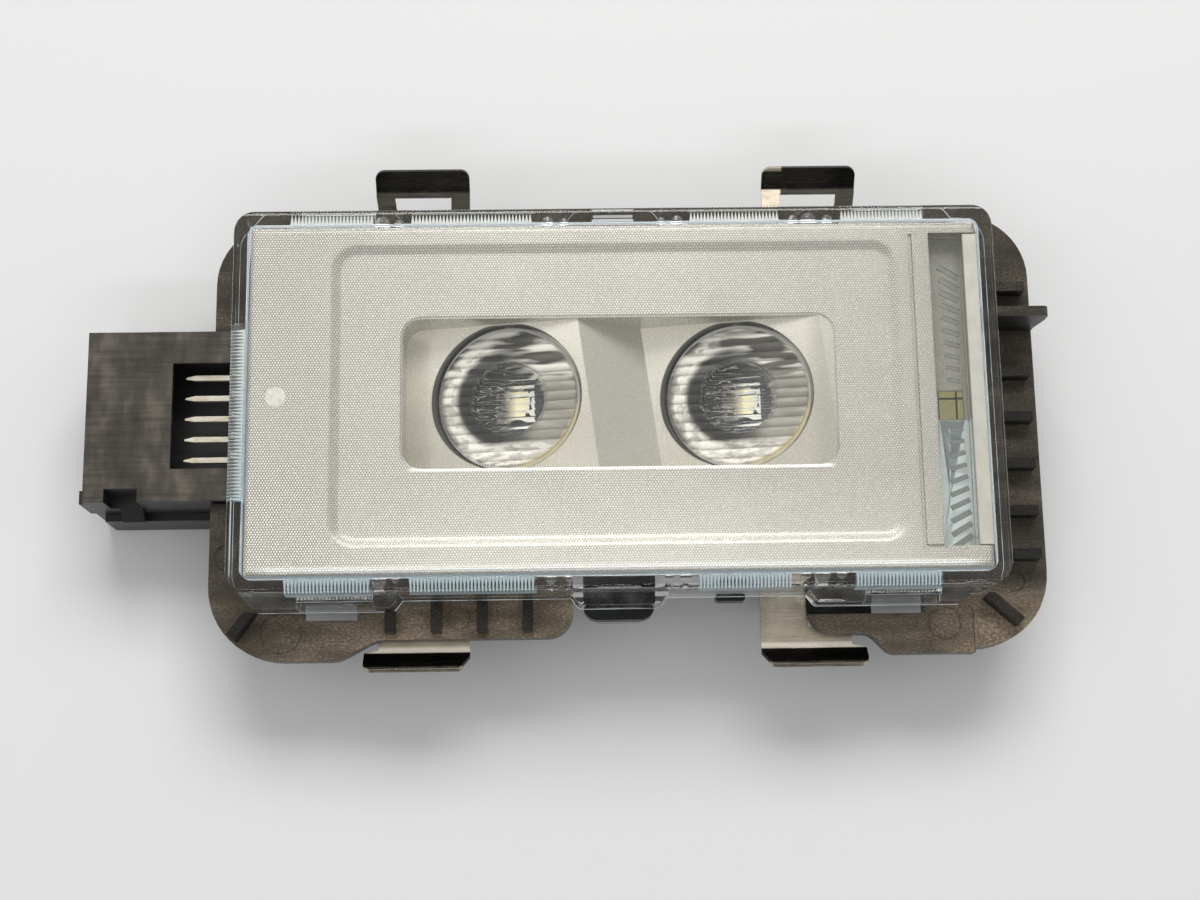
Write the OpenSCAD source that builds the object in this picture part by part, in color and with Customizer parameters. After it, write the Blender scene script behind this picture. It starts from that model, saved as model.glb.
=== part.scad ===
// Car dome light with two tilted reading lenses, a side light guide and a five-way header.
// Frame: Z is up out of the light face, X runs away from the connector, the back lies on z = 0.
// The origin is under the centre of the clear cover.

/* [Cover] */
// Length of the clear cover
cover_w = 89.9; // [86:0.1:100]
// Depth of the clear cover
cover_d = 45.6; // [44:0.1:56]
// Height of the cover above the flange
cover_h = 8.5; // [8.2:0.1:12]
// Thickness of the cover walls
cover_wall = 1.5; // [1.2:0.1:1.8]
// Thickness of the cover face
cover_face = 1.0; // [0.8:0.1:1.2]
// Corner radius of the cover in plan
cover_corner_r = 3.0; // [1.5:0.1:4]
// Radius of the cover's top edges
cover_edge_r = 0.7; // [0.3:0.1:1]
// Spacing of the flutes inside the cover walls
flute_pitch = 0.41; // [0.35:0.01:0.9]
// Depth of the flutes
flute_depth = 1.2; // [0.3:0.05:1.25]
// How far the snap tabs stand out from the cover wall
tab_out = 1.25; // [0.8:0.05:1.5]
// Distance of the snap hooks from the middle
hook_x = 32.8; // [31.5:0.1:34]
// Width of a snap hook
hook_w = 8.4; // [6:0.1:8.8]

/* [Base] */
// Height of the flange face above the back
base_h = 12.5; // [12.3:0.1:16]
// Thickness of the flange
flange_t = 2.0; // [1.6:0.1:2.4]
// Flange beyond the cover on the connector side
flange_left = 3.3; // [2.5:0.1:5]
// Flange beyond the cover on the far side
flange_right = 5.8; // [5:0.1:8]
// Flange beyond the cover at the front corners
flange_front = 6.9; // [6.4:0.1:7.4]
// Flange beyond the cover at the rear
flange_rear = 1.5; // [1:0.1:2.2]
// Front arms beyond the cover between the corners
arm_front = 4.5; // [4.2:0.1:4.8]
// Wall thickness of the base box
box_wall = 1.8; // [1.4:0.1:2.2]
// Floor thickness of the base box
box_floor = 1.8; // [1.2:0.1:2.4]
// Thickness of the flange ribs
rib_t = 1.2; // [0.8:0.1:1.6]
// Height of the flange ribs
rib_h = 2.2; // [1:0.1:3]
// Height of the tall locating rib
tall_rib_h = 6.5; // [4:0.1:8]

/* [Bezel and lenses] */
// Diameter of a reading lens
lens_d = 17.2; // [15:0.1:17.4]
// Depth of a reading lens from its face to its tip
lens_depth = 4.4; // [4:0.1:4.5]
// Tilt of the lenses towards the connector
lens_tilt = 13.2; // [11:0.1:13.5]
// Turn of the tilted floors about the vertical
floor_turn = 7.3; // [3:0.1:8]
// Spacing of the outer lens ribs
lens_rib_pitch = 1.15; // [1:0.05:1.4]
// Spacing of the inner lens ribs
inner_rib_pitch = 0.75; // [0.7:0.01:0.78]
// Length of the recess
recess_w = 50.6; // [50:0.1:51.5]
// Depth of the recess in plan
recess_d = 18.0; // [17.8:0.1:20]
// Depth of the shallow tray round the recess
tray_step = 0.5; // [0.3:0.05:0.6]
// Wall thickness of the bezel
bezel_t = 1.2; // [1:0.05:1.3]
// Width of the light guide
guide_w = 3.85; // [3:0.05:4]
// Length of the light guide
guide_l = 37.4; // [34:0.1:38]

/* [Connector and contacts] */
// Length of the header outside the cover
header_out = 18.25; // [16:0.05:22]
// Width of the header
header_w = 20.8; // [20:0.1:22]
// How far the header stands above the flange face
header_up = 1.1; // [0.6:0.1:1.4]
// Width of the header's socket
socket_w = 16; // [15.4:0.1:17]
// Height of the header's socket
socket_h = 6.4; // [5:0.1:7.5]
// Spacing of the contact pins
pin_pitch = 2.54; // [2.5:0.01:2.6]
// Thickness of a square contact pin
pin_t = 0.64; // [0.5:0.01:0.8]
// Thickness of the circuit board
board_t = 1.6; // [1:0.1:2]

/* [Spring clips] */
// Thickness of the clip's sheet
clip_t = 0.5; // [0.4:0.05:0.7]
// Distance of a clip's inner edge from the middle
clip_x = 17.6; // [16:0.1:19]
// Width of a clip's loop
clip_w = 10.7; // [10:0.1:12]
// How far the flat of a clip reaches beyond the cover
clip_out = 5.8; // [5.5:0.1:6.5]
// Length of a clip's raised lip
lip_l = 2.7; // [1.5:0.1:3]
// Angle of the lip
lip_angle = 45; // [35:1:60]

/* [Hidden] */
$fn = 48;

// Small cut allowance that keeps faces from coinciding
eps = 0.1;
// Gap between parts that slide together
fit = 0.15;

// Cover
cx = cover_w / 2;
cy = cover_d / 2;
top_z = base_h + cover_h;
cover_in_z = top_z - cover_face;
cover_in_r = 0.8;
cover_in_x = cx - cover_wall;
cover_in_y = cy - cover_wall;
tab_blend = 1.8;
tab_h = 5.4;
tab_slope = 1.2;
tab_left = [-cx + cover_corner_r, -26.6];
tab_right = [23.2, 39.8];
tongue_w = 4.8;
tongue_flare = 8.8;
tongue_t = 0.9;
hook_z = base_h + 1.6;
hook_top_z = hook_z + 2.8;
hook_post_t = 1.4;
window_w = hook_w + 0.4;
flute_runs = [[-38.4, -28.5], [-24.1, -9.5], [9.0, 19.8], [27.0, 36.9]];
flute_run_left = [-12, 8.5];
flute_z = hook_top_z + 0.8;
flute_z1 = cover_in_z - cover_in_r;
wall_grooves = [
    [-27.5, 0.9], [-25.6, 0.45], [-7.9, 0.7], [-5.9, 0.5], [5.6, 0.5], [7.5, 0.7], [21.3, 0.6], [23.2, 0.9], [25.4, 0.6]
];
gate_x = -cx + 5.35;
gate_d = 2.4;

// Base box and flange
box_x = cx - 1.45;
box_y = cy - 2.8;
box_in_x = box_x - box_wall;
box_in_y = box_y - box_wall;
box_edge_r = 1.5;
under_z = base_h - flange_t;
fx0 = -cx - flange_left;
fx1 = cx + flange_right;
fy0 = -cy - flange_front;
fy1 = cy + flange_rear;
arm_y = -cy - arm_front;
front_corner_r = 9;
rear_corner_r = 8;
corner_step_x = 41.7;
corner_step = 0.5;
corner_pad_t = 0.2;
lug_x = [11.4, 14.9];
arm_end_r = 3;
arm_left_end = -5.4;
arm_right_end = 22.2;
bay_y = -cy + 1.8;
strap_w = 8.4;
strap_out = 2.5;
strap_r = 1.7;
arm_rib_x = [-26.7, -21.35, -16.0, -10.7];
side_rib_y = [14.4, 3.7, -1.8, -7.5, -13.2, -18.4];
corner_ribs = [[-cx + 1.3, -cy - 2.2, 54], [cx + 0.1, -cy - 1.9, -42]];
corner_rib_l = 5;
tall_rib_y = 10;
tall_rib_over = 0.6;
tall_rib_corner = 0.35;
ejector_marks = [
    [-39.6, -26.4, 2.5], [-18.8, -24.9, 1.45], [-46.1, -17.4, 1.6],
    [46.8, -21.4, 1.3], [38.3, -26.2, 2.0], [46.6, -10.3, 1.2]
];
mark_depth = 0.12;
mark_groove = 0.2;

// Bezel
bezel_z = cover_in_z - 0.2;
bezel_edge_r = 0.9;
bezel_x = cover_in_x - 0.25;
bezel_y = cover_in_y - 0.25;
tray_z = bezel_z - tray_step;
plate_t = bezel_t + tray_step;
ring_x = box_in_x + 1.2;
ring_y = box_in_y + 1.2;
ring_t = 1.0;
tray_x0 = -33.6;
tray_x1 = 33.7;
tray_y0 = -17.8;
tray_y1 = 18.8;
tray_r = 3.2;
tray_bevel = 1.5;
recess_x = 0.3;
recess_y = 0.6;
rec_x0 = recess_x - recess_w / 2;
rec_x1 = recess_x + recess_w / 2;
rec_y0 = recess_y - recess_d / 2;
rec_y1 = recess_y + recess_d / 2;
recess_r = 2.2;
mouth_edge = 0.3;
ridge_x = recess_x - 3.5;
valley_x = rec_x1 - 21.3;
ridge_drop = 0.5;
slope = tan(lens_tilt);
function left_floor(x) = tray_z - ridge_drop + slope * (x - ridge_x);
function right_floor(x) = tray_z + slope * (x - rec_x1);

// Lenses
lens_left_x = ridge_x - 9.6;
lens_right_x = rec_x1 - 11.2;
lens_gap = 0.25;
lens_flange_t = 1.4;
lens_sink = 0.25;
lens_inner_d = 8.8;
lens_well = 1.8;
lens_cup = 1.3;
seat_ledge = 0.9;
seat_wall = 1.1;
seat_t = 0.8;

// Light guide
guide_x = 39.37;
guide_y = 0.57;
guide_t = 2.2;
guide_drop = 0.8;
holder_wall = 0.4;
holder_floor = 0.8;
holder_x1 = bezel_x - 0.1;
guide_top_z = bezel_z - guide_drop;
guide_low_z = guide_top_z - guide_t;
holder_z0 = guide_low_z - holder_floor;
leg_w = 2.8;
leg_l = 3.4;
leg_y = -1.2;
hatch_pitch = 1.48;
hatch_w = [0.4, 0.3];
hatch_l = [1.4, 1.4];
hatch_angle = [5, 28];
hatch_depth = 0.5;
hatch_shift = 0.45;
guide_strip = 2.15;
groove_w = 0.4;
groove_depth = 0.25;

// Header, pins and board
pin_count = 5;
pin_y0 = -0.3;
pin_z = base_h - 1.0;
pin_tip_x = -cx - 6.85;
pin_tip_l = 1.2;
header_x0 = -cx - header_out;
header_x1 = -box_in_x + 1.0;
header_z1 = base_h + header_up;
header_y0 = pin_y0 - header_w / 2;
header_y1 = pin_y0 + header_w / 2;
header_wall = 1.0;
header_key_t = 0.85;
header_key_w = 1.4;
latch_x = [3.6, 6.3];
latch_out = 1.4;
latch_z = header_z1 - 4;
socket_z1 = header_z1 - header_wall;
socket_z0 = socket_z1 - socket_h;
socket_back_x = -cx + 0.75;
port_x0 = pin_tip_x - 1.2;
port_w = (pin_count - 1) * pin_pitch + 2.8;
board_x0 = header_x1 + 0.3;
board_x1 = box_in_x - 0.5;
board_y = box_in_y - 0.5;
board_top = pin_z - pin_t / 2;
board_z0 = board_top - board_t;
pin_end_x = board_x0 + 3.9;
post_x = 38;
post_y = box_in_y - 2.7;
post_r = 2.2;
peg_r = 1.0;
press_x = 33;
press_y = box_in_y - 3.6;
led_w = 4.5;
led_dome = 2.8;
led_base = 0.4;
led_h = 0.7;
ambient_led = [2.6, 3.2];
chip = [4.9, 3.9, 1.3];
chip_x = rec_x0 - 6;
chip_y = pin_y0 + (pin_count - 1) / 2 * pin_pitch + 4.3;
chip_pin_pitch = 1.27;
chip_pin_l = 6;
chip_pin_w = 0.4;
cap_x = rec_x1 + 6;
cap_y = [-9, -5];
cap_d = 3.2;
cap_h = 2.8;
cap_foot = 3.4;
resistor_x = rec_x1 + 2.4;
resistor_y = [4.3, 6.3, 8.3, 10.3];
resistor = [2, 1.2, 0.5];

// Clips
clip_leg = 2.3;
clip_front_leg = 5.6;
clip_front_bar = 2.4;
clip_shift = [0, 1.1, 0, -0.8];
clip_foot_z = under_z - 6.5;
clip_foot_w = 8;
clip_foot_window = [4.4, 2.2];
bend_r = 0.3;
clip_flare = 0.9;
clip_front_flare = 1.8;
clip_front_lean = 0.1;
clip_bar = 0.5;
lip_r = 1.1;
lip_cut = 1.2;

// Plan shapes and helpers

function arc_points(x, y, r, a0, a1, n = 12) =
    [for (i = [0:n]) let (a = a0 + (a1 - a0) * i / n) [x + r * cos(a), y + r * sin(a)]];

function s_curve(x0, y0, x1, y1, n = 10) =
    [for (i = [0:n]) let (t = i / n) [x0 + (x1 - x0) * t, y0 + (y1 - y0) * (1 - cos(180 * t)) / 2]];

module block(x0, x1, y0, y1, z0, z1) {
    translate([x0, y0, z0]) cube([x1 - x0, y1 - y0, z1 - z0]);
}

module rounded_plan(x0, x1, y0, y1, r) {
    translate([x0 + r, y0]) square([x1 - x0 - 2 * r, y1 - y0]);
    translate([x0, y0 + r]) square([x1 - x0, y1 - y0 - 2 * r]);
    for (x = [x0 + r, x1 - r], y = [y0 + r, y1 - r]) translate([x, y]) circle(r);
}

module rounded_slab(x0, x1, y0, y1, z0, z1, r) {
    translate([0, 0, z0]) linear_extrude(z1 - z0) rounded_plan(x0, x1, y0, y1, r);
}

// Side profile whose two upper corners are round
module top_rounded(a0, a1, z0, z1, r) {
    translate([a0, z0]) square([a1 - a0, z1 - z0 - r]);
    translate([a0 + r, z0]) square([a1 - a0 - 2 * r, z1 - z0]);
    for (a = [a0 + r, a1 - r]) translate([a, z1 - r]) circle(r);
}

module along_y(y0, y1) {
    translate([0, y1, 0]) rotate([90, 0, 0]) linear_extrude(y1 - y0) children();
}

module along_x(x0, x1) {
    translate([x0, 0, 0]) rotate([90, 0, 90]) linear_extrude(x1 - x0) children();
}

// Block with round vertical corners and round top edges
module soft_block(x0, x1, y0, y1, z0, z1, r, edge_r) {
    intersection() {
        rounded_slab(x0, x1, y0, y1, z0, z1, r);
        along_y(y0, y1) top_rounded(x0, x1, z0, z1, edge_r);
        along_x(x0, x1) top_rounded(y0, y1, z0, z1, edge_r);
    }
}

module front_and_rear() {
    children();
    mirror([0, 1, 0]) children();
}

// Base housing

flange_outline = concat(
    arc_points(fx0 + front_corner_r, fy0 + front_corner_r, front_corner_r, 180, 270),
    s_curve(-33.8, fy0, -27.4, arm_y),
    arc_points(arm_left_end - arm_end_r, arm_y + arm_end_r, arm_end_r, 270, 360, 8),
    [[arm_left_end, bay_y], [arm_right_end, bay_y]],
    arc_points(arm_right_end + arm_end_r, arm_y + arm_end_r, arm_end_r, 180, 270, 8),
    s_curve(28.8, arm_y, 32.3, fy0),
    [[corner_step_x, fy0]],
    arc_points(fx1 - front_corner_r, fy0 + corner_step + front_corner_r, front_corner_r, 270, 360),
    arc_points(fx1 - rear_corner_r, fy1 - rear_corner_r, rear_corner_r, 0, 90),
    arc_points(fx0 + rear_corner_r, fy1 - rear_corner_r, rear_corner_r, 90, 180)
);

module flange() {
    difference() {
        translate([0, 0, under_z]) linear_extrude(flange_t) polygon(flange_outline);
        block(-box_in_x, box_in_x, -box_in_y, box_in_y, under_z - eps, base_h + eps);
        // Slots beside the front snap tabs
        block(-37, -30.7, -cy - 2.15, -cy - 0.2, under_z - eps, base_h + eps);
        block(29.9, 35.9, -cy - 2.15, -cy + 0.5, under_z - eps, base_h + eps);
        block(arm_right_end - eps, 30, -cy - 2.15, -cy + 0.8, base_h - 1.3, base_h + eps);
        for (m = ejector_marks) translate([m[0], m[1], base_h - mark_depth]) difference() {
            cylinder(r = m[2], h = 1);
            translate([0, 0, -eps]) cylinder(r = m[2] - mark_groove, h = mark_depth + eps - 0.04);
        }
    }
}

module flange_ribs() {
    for (x = arm_rib_x)
        block(x - rib_t / 2, x + rib_t / 2, arm_y + 0.6, -cy - 0.3, base_h - eps, base_h + rib_h);
    for (y = side_rib_y)
        block(cx + 0.3, fx1 - 1, y - rib_t / 2, y + rib_t / 2, base_h - eps, base_h + rib_h);
    along_y(tall_rib_y - rib_t / 2, tall_rib_y + rib_t / 2) tall_rib_side();
    for (end = corner_ribs)
        translate([end[0], end[1], base_h - eps]) rotate([0, 0, end[2]])
            translate([-corner_rib_l / 2, -rib_t / 2, 0]) cube([corner_rib_l, rib_t, rib_h + eps]);
}

// The tall rib leans out over the flange's edge and has its top corner cut
module tall_rib_side() {
    x = fx1 + tall_rib_over;
    z = base_h + tall_rib_h;
    polygon([
        [cx + 0.3, base_h - eps], [fx1, base_h - eps], [fx1, base_h + 0.2 * tall_rib_h],
        [x, base_h + 0.7 * tall_rib_h], [x, z - tall_rib_corner], [x - tall_rib_corner, z], [cx + 0.3, z]
    ]);
}

// Room that the ribs leave round the cover and its two front tabs
module rib_clearance() {
    block(-cx - fit, cx + fit, -cy - fit, cy, base_h, top_z);
    block(-cx - fit, tab_left[1] + tab_blend, -cy - tab_out - fit, -cy, base_h, top_z);
    block(tab_right[0] - tab_blend, tab_right[1] + tab_blend, -cy - tab_out - fit, -cy, base_h, top_z);
}

// The far front corner stands a little higher than the arm beside it
module corner_pad() {
    translate([0, 0, base_h - eps]) linear_extrude(corner_pad_t + eps) intersection() {
        polygon(flange_outline);
        translate([corner_step_x, fy0 - 1]) square([fx1 - corner_step_x + 1, -cy - tab_out - fit - fy0 + 1]);
    }
}

// Strap that the cover's tongue snaps through
module latch_strap() {
    rounded_slab(-strap_w / 2, strap_w / 2, -cy - strap_out, -box_in_y, under_z, base_h, strap_r);
}

module tongue_slot() {
    block(-tongue_w / 2 - fit, tongue_w / 2 + fit, -cy - tongue_t - fit, -cy + fit,
          under_z - eps, base_h + eps);
}

// Lug in the bay that the cover's front wall stands on
module bay_lug() {
    rounded_slab(lug_x[0], lug_x[1], -cy - 0.45, bay_y + 1, under_z, base_h, 0.4);
}

module snap_hook() {
    y0 = cover_in_y - 0.2 - hook_post_t;
    profile = [
        [y0, base_h - eps], [y0 + hook_post_t, base_h - eps], [y0 + hook_post_t, hook_z],
        [cy + 0.3, hook_z], [cy + 0.3, hook_z + 0.6], [y0 + hook_post_t, hook_top_z], [y0, hook_top_z]
    ];
    for (x = [-hook_x, hook_x]) along_x(x - hook_w / 2, x + hook_w / 2) polygon(profile);
}

module header_space() {
    block(fx0 - 1, header_x1 + fit, header_y0 - fit, header_y1 + fit, -eps, header_z1 + fit);
}

module base_housing() {
    color([0.16, 0.15, 0.14]) difference() {
        union() {
            difference() {
                mirror([0, 0, 1]) soft_block(-box_x, box_x, -box_y, box_y, -base_h, 0, 2, box_edge_r);
                block(-box_in_x, box_in_x, -box_in_y, box_in_y, box_floor, base_h + eps);
            }
            flange();
            corner_pad();
            difference() {
                flange_ribs();
                rib_clearance();
            }
            bay_lug();
            front_and_rear() latch_strap();
            front_and_rear() snap_hook();
            clip_wedges();
            for (x = [-post_x, post_x], y = [-post_y, post_y]) translate([x, y, box_floor - eps]) {
                cylinder(r = post_r, h = board_z0 - box_floor + eps);
                cylinder(r = peg_r, h = board_top + 0.5 - box_floor);
            }
        }
        header_space();
        front_and_rear() tongue_slot();
    }
}

// Clear cover

// Outline of one snap tab that blends out of the wall
module tab_plan(x0, x1) {
    polygon(concat(
        [[max(x0 - tab_blend, -cx), cy - cover_corner_r]],
        s_curve(max(x0 - tab_blend, -cx), cy - 0.3, x0, cy + tab_out),
        s_curve(x1, cy + tab_out, x1 + tab_blend, cy - 0.3),
        [[x1 + tab_blend, cy - cover_corner_r]]
    ));
}

// Tabs are lower at their outer side, so their top slopes
module tabs() {
    intersection() {
        translate([0, 0, base_h]) linear_extrude(tab_h) {
            tab_plan(tab_left[0], tab_left[1]);
            tab_plan(tab_right[0], tab_right[1]);
            tab_plan(-tongue_flare / 2, tongue_flare / 2);
        }
        along_x(-cx - 1, cx + 1) polygon([
            [0, base_h - 1], [cy + tab_out + 1, base_h - 1], [cy + tab_out + 1, base_h + tab_h - 2 * tab_slope],
            [cy, base_h + tab_h], [0, base_h + tab_h]
        ]);
    }
}

// Tongue that passes through the strap and catches beneath it
module tongue() {
    low_z = under_z - 1.3;
    along_x(-tongue_w / 2, tongue_w / 2) polygon([
        [cy, base_h + 1], [cy, low_z], [cy + 0.5, low_z], [cy + strap_out + 0.1, under_z - 0.7],
        [cy + strap_out + 0.1, under_z - 0.15], [cy + tongue_t, under_z - 0.15], [cy + tongue_t, base_h + 1]
    ]);
}

module flutes(run) {
    n = floor((run[1] - run[0]) / flute_pitch);
    depth = min(flute_depth, cover_wall - 0.25);
    teeth = [for (i = [0:2 * n]) [run[0] + i * flute_pitch / 2, (i % 2 == 0) ? 0 : depth]];
    polygon(concat([[run[0], -eps]], teeth, [[run[0] + n * flute_pitch, -eps]]));
}

module clear_cover() {
    color([0.75, 0.85, 0.9, 0.5]) difference() {
        union() {
            soft_block(-cx, cx, -cy, cy, base_h, top_z, cover_corner_r, cover_edge_r);
            front_and_rear() tabs();
            front_and_rear() tongue();
        }
        soft_block(-cover_in_x, cover_in_x, -cover_in_y, cover_in_y,
                   base_h - eps, cover_in_z, cover_corner_r - cover_wall + 0.2, cover_in_r);
        front_and_rear() for (x = [-hook_x, hook_x])
            block(x - window_w / 2, x + window_w / 2, cover_in_y - 1, cy + tab_out + 1,
                  hook_z - 0.15, hook_top_z + 0.3);
        front_and_rear() translate([0, cover_in_y, flute_z]) linear_extrude(flute_z1 - flute_z) {
            for (run = flute_runs) flutes(run);
            for (g = wall_grooves) translate([g[0], 0]) circle(g[1], $fn = 24);
        }
        translate([-cover_in_x, 0, flute_z]) rotate([0, 0, 90])
            linear_extrude(flute_z1 - flute_z) flutes(flute_run_left);
        // Notch over the header and the gate mark on the face
        block(-cx - 1, -cover_in_x + 1, header_y0 - fit, header_y1 + fit, base_h - eps, header_z1 + fit);
        translate([gate_x, 0.1, top_z - 0.1]) difference() {
            cylinder(d = gate_d, h = 1);
            cylinder(d = gate_d - 0.5, h = 0.06);
        }
    }
}

// Inner bezel

// Saw-tooth section of the two tilted floors, closed at z1
module floor_section(drop, z1) {
    far = 8;
    polygon([
        [rec_x0 - far, left_floor(rec_x0 - far) - drop], [ridge_x, left_floor(ridge_x) - drop],
        [valley_x, right_floor(valley_x) - drop], [rec_x1 + far, right_floor(rec_x1 + far) - drop],
        [rec_x1 + far, z1], [rec_x0 - far, z1]
    ]);
}

module above_floor(drop, z1) {
    rotate([0, 0, floor_turn]) along_y(-25, 25) floor_section(drop, z1);
}

// How far along the turned floors a lens centre lies
function floor_x(x) = x * cos(floor_turn) + recess_y * sin(floor_turn);

module at_lens(x, z) {
    translate([x, recess_y, z]) rotate([0, 0, floor_turn]) rotate([0, -lens_tilt, 0]) children();
}

module at_left_lens() { at_lens(lens_left_x, left_floor(floor_x(lens_left_x))) children(); }
module at_right_lens() { at_lens(lens_right_x, right_floor(floor_x(lens_right_x))) children(); }

module seat_outer() {
    translate([0, 0, -lens_sink - lens_flange_t - seat_t])
        cylinder(d = lens_d + 2 * lens_gap + 2 * seat_wall, h = lens_sink + lens_flange_t + seat_t);
}

module seat_bore() {
    translate([0, 0, -lens_sink - lens_flange_t]) cylinder(d = lens_d + 2 * lens_gap, h = 8);
    translate([0, 0, -8]) cylinder(d = lens_d - 2 * seat_ledge, h = 9);
}

// Pocket with round corners whose sides rise in a soft curve of width w
module soft_pocket(x0, x1, y0, y1, z0, z1, r, w) {
    along_y(y0 + r, y1 - r) pocket_section(x0, x1, z0, z1, w);
    along_x(x0 + r, x1 - r) pocket_section(y0, y1, z0, z1, w);
    for (side = [0, 1], y = [y0 + r, y1 - r])
        translate([side == 0 ? x0 + r : x1 - r, y, 0]) rotate([0, 0, 180 * (1 - side)]) rotate_extrude()
            polygon(concat([[0, bezel_z + 1], [0, z0]], s_curve(r - w, z0, r, z1), [[r, bezel_z + 1]]));
}

module pocket_section(a0, a1, z0, z1, w) {
    polygon(concat(
        [[a0, bezel_z + 1]], s_curve(a0, z1, a0 + w, z0), s_curve(a1 - w, z0, a1, z1), [[a1, bezel_z + 1]]
    ));
}

// Fine groove that frames the strip beside the light guide
module guide_groove() {
    x = guide_x - guide_w / 2 - guide_strip;
    y = guide_y - guide_l / 2;
    block(x - groove_w, x, y - groove_w, guide_y + guide_l / 2, bezel_z - groove_depth, bezel_z + 1);
    block(x - groove_w, x + guide_strip, y - groove_w, y, bezel_z - groove_depth, bezel_z + 1);
}

module bezel_ring() {
    difference() {
        rounded_slab(-ring_x, ring_x, -ring_y, ring_y, base_h, bezel_z - plate_t + eps, 1.5);
        rounded_slab(-ring_x + ring_t, ring_x - ring_t, -ring_y + ring_t, ring_y - ring_t,
                     base_h - eps, bezel_z, 0.8);
    }
}

module inner_bezel() {
    color([0.72, 0.71, 0.68]) difference() {
        union() {
            soft_block(-bezel_x, bezel_x, -bezel_y, bezel_y, bezel_z - plate_t, bezel_z, 1.0, bezel_edge_r);
            bezel_ring();
            intersection() {
                rounded_slab(rec_x0 - bezel_t, rec_x1 + bezel_t, rec_y0 - bezel_t, rec_y1 + bezel_t,
                             board_top, bezel_z - eps, recess_r + bezel_t);
                above_floor(bezel_t, bezel_z);
            }
            intersection() {
                union() {
                    at_left_lens() seat_outer();
                    at_right_lens() seat_outer();
                }
                block(-cx, cx, -cy, cy, board_top, bezel_z - eps);
            }
            for (x = [-press_x, press_x], y = [-press_y, press_y])
                translate([x, y, board_top]) cylinder(r = 1.5, h = bezel_z - plate_t - board_top + eps);
        }
        soft_pocket(tray_x0, tray_x1, tray_y0, tray_y1, tray_z, bezel_z, tray_r, tray_bevel);
        // Narrow bevel round the mouth of the recess
        soft_pocket(rec_x0 - mouth_edge, rec_x1 + mouth_edge, rec_y0 - mouth_edge, rec_y1 + mouth_edge,
                    tray_z - mouth_edge / 2, tray_z, recess_r + mouth_edge, mouth_edge);
        intersection() {
            rounded_slab(rec_x0, rec_x1, rec_y0, rec_y1, board_top, bezel_z + 1, recess_r);
            above_floor(0, bezel_z + 1);
        }
        at_left_lens() seat_bore();
        at_right_lens() seat_bore();
        // Room for the light guide, and below the plate for its holder
        block(guide_x - guide_w / 2 - 0.15, cx, guide_y - guide_l / 2 - 0.15,
              guide_y + guide_l / 2 + 0.15, holder_z0, bezel_z + 1);
        block(guide_x - guide_w / 2 - holder_wall - 0.2, cx, guide_y - guide_l / 2 - holder_wall - 0.2,
              guide_y + guide_l / 2 + holder_wall + 0.2, holder_z0 - 1, bezel_z - plate_t);
        guide_groove();
        block(-cx, -ring_x + ring_t + eps, header_y0 - fit, header_y1 + fit,
              base_h - eps, header_z1 + fit);
    }
}

// Reading lenses

module lens_ribs(d, pitch, z0, z) {
    r = pitch * 0.62;
    n = ceil(d / 2 / pitch);
    intersection() {
        translate([0, 0, z0]) cylinder(d = d, h = z - z0 + 2);
        union() {
            for (i = [-n:n]) translate([-d, i * pitch, z - r]) rotate([0, 90, 0])
                cylinder(r = r, h = 2 * d, $fn = 24);
        }
    }
}

// Collimator: flat flange, curved side, a cup at its tip, a well in its face and ribs across both
module lens() {
    face = lens_flange_t;
    tip = lens_depth - lens_sink;
    rim_r = lens_d / 2 - seat_ledge - 0.4;
    tip_r = 3.2;
    side = [for (i = [0:10]) let (t = i / 10)
        [tip_r + (rim_r - tip_r) * sqrt(t), face - tip + (tip - face) * t]];
    translate([0, 0, -lens_sink - face]) {
        difference() {
            union() {
                cylinder(d = lens_d, h = face - 0.35);
                rotate_extrude() polygon(concat([[0, face - tip]], side, [[0, 0]]));
                rotate([0, 0, -floor_turn]) lens_ribs(lens_d - 0.8, lens_rib_pitch, 0, face);
            }
            translate([0, 0, face - tip - eps]) cylinder(d = 4, h = lens_cup + eps);
            difference() {
                translate([0, 0, face - lens_well - 0.3]) cylinder(d = lens_inner_d, h = 4);
                rotate([0, 0, -floor_turn])
                    lens_ribs(lens_inner_d + 1, inner_rib_pitch, face - lens_well - 0.4, face - lens_well);
            }
        }
    }
}

module lens_left() { color([0.85, 0.88, 0.85, 0.6]) at_left_lens() lens(); }
module lens_right() { color([0.85, 0.88, 0.85, 0.6]) at_right_lens() lens(); }

// Light guide and its holder

module guide_blank(grow, z0, z1) {
    block(guide_x - guide_w / 2 - grow, guide_x + guide_w / 2 + grow,
          guide_y - guide_l / 2 - grow, guide_y + guide_l / 2 + grow, z0, z1);
}

module guide_leg(grow) {
    block(guide_x - leg_w / 2 - grow, guide_x + leg_w / 2 + grow,
          leg_y - leg_l / 2 - grow, leg_y + leg_l / 2 + grow, board_top + led_h + 0.3, guide_low_z + eps);
}

// Strokes that throw the light out, longer and steeper away from the light source
module hatch_strokes() {
    n = floor((guide_l / 2 - 3) / hatch_pitch);
    for (side = [-1, 1], i = [1:n]) {
        w = hatch_w[0] + hatch_w[1] * i / n;
        l = min(hatch_l[0] + hatch_l[1] * i / n, guide_w - 2 * hatch_shift);
        translate([guide_x + hatch_shift, leg_y + side * (1.5 + i * hatch_pitch), guide_low_z - eps])
            rotate([0, 0, -side * (hatch_angle[0] + hatch_angle[1] * i / n)])
                translate([-l / 2, -w / 2, 0]) cube([l, w, hatch_depth + eps]);
    }
}

module light_guide() {
    color([0.9, 0.95, 1, 0.6]) difference() {
        union() {
            guide_blank(0, guide_low_z, guide_top_z);
            guide_leg(0);
        }
        hatch_strokes();
    }
}

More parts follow.
